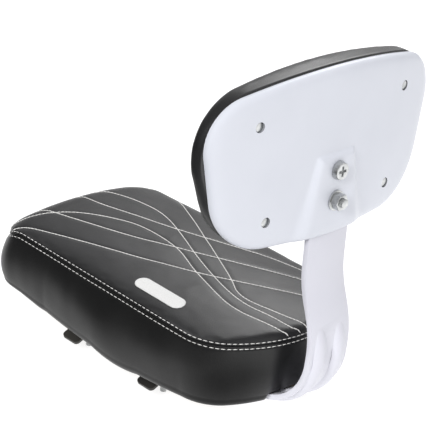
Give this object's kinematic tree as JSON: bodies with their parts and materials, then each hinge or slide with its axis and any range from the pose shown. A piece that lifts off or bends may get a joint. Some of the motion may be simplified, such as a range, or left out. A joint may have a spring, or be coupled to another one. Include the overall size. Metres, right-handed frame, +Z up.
{
  "type": "child bicycle rear seat",
  "caption": "Padded child seat for a bicycle's rear rack: a foam cushion on a board with clamp bars below it, and a padded backrest carried by a bent flat-steel stem.",
  "frame": {"origin": "midway between the clamp bolts, level with the undersides of their nuts", "axes": "+X to the rider's right, +Y forward, +Z up"},
  "size_m": [0.274, 0.3504, 0.3354],
  "materials": {
    "top_leather": "dark grey artificial leather, fine grain, soft sheen",
    "side_leather": "black artificial leather, fine grain, soft sheen",
    "label_white": "plain white soft patch",
    "foam": "open-cell upholstery foam",
    "plywood": "plain plywood",
    "stem_white": "gloss white paint",
    "shell_white": "gloss white moulding",
    "bar_black": "black paint",
    "zinc": "bright zinc plate"
  },
  "bodies": {
    "root": {"seat_board": "plywood", "seat_foam": "foam", "seat_top_cover": "top_leather", "seat_side_band": "side_leather", "cover_label": "label_white", "hem_staples": "zinc", "backrest_stem": "stem_white", "stem_bolts": "zinc", "stem_washers": "zinc", "stem_nuts": "zinc", "front_clamp_bar": "bar_black", "rear_clamp_bar": "bar_black", "clamp_bolts": "zinc", "clamp_washers": "zinc", "clamp_nuts": "zinc", "backrest_shell": "shell_white", "backrest_board": "plywood", "backrest_foam": "foam", "backrest_cover": "side_leather", "pad_screws": "zinc", "upper_back_bolt": "zinc", "upper_back_nut": "zinc", "lower_back_bolt": "zinc", "lower_flange_nut": "zinc"}
  },
  "joints": []
}
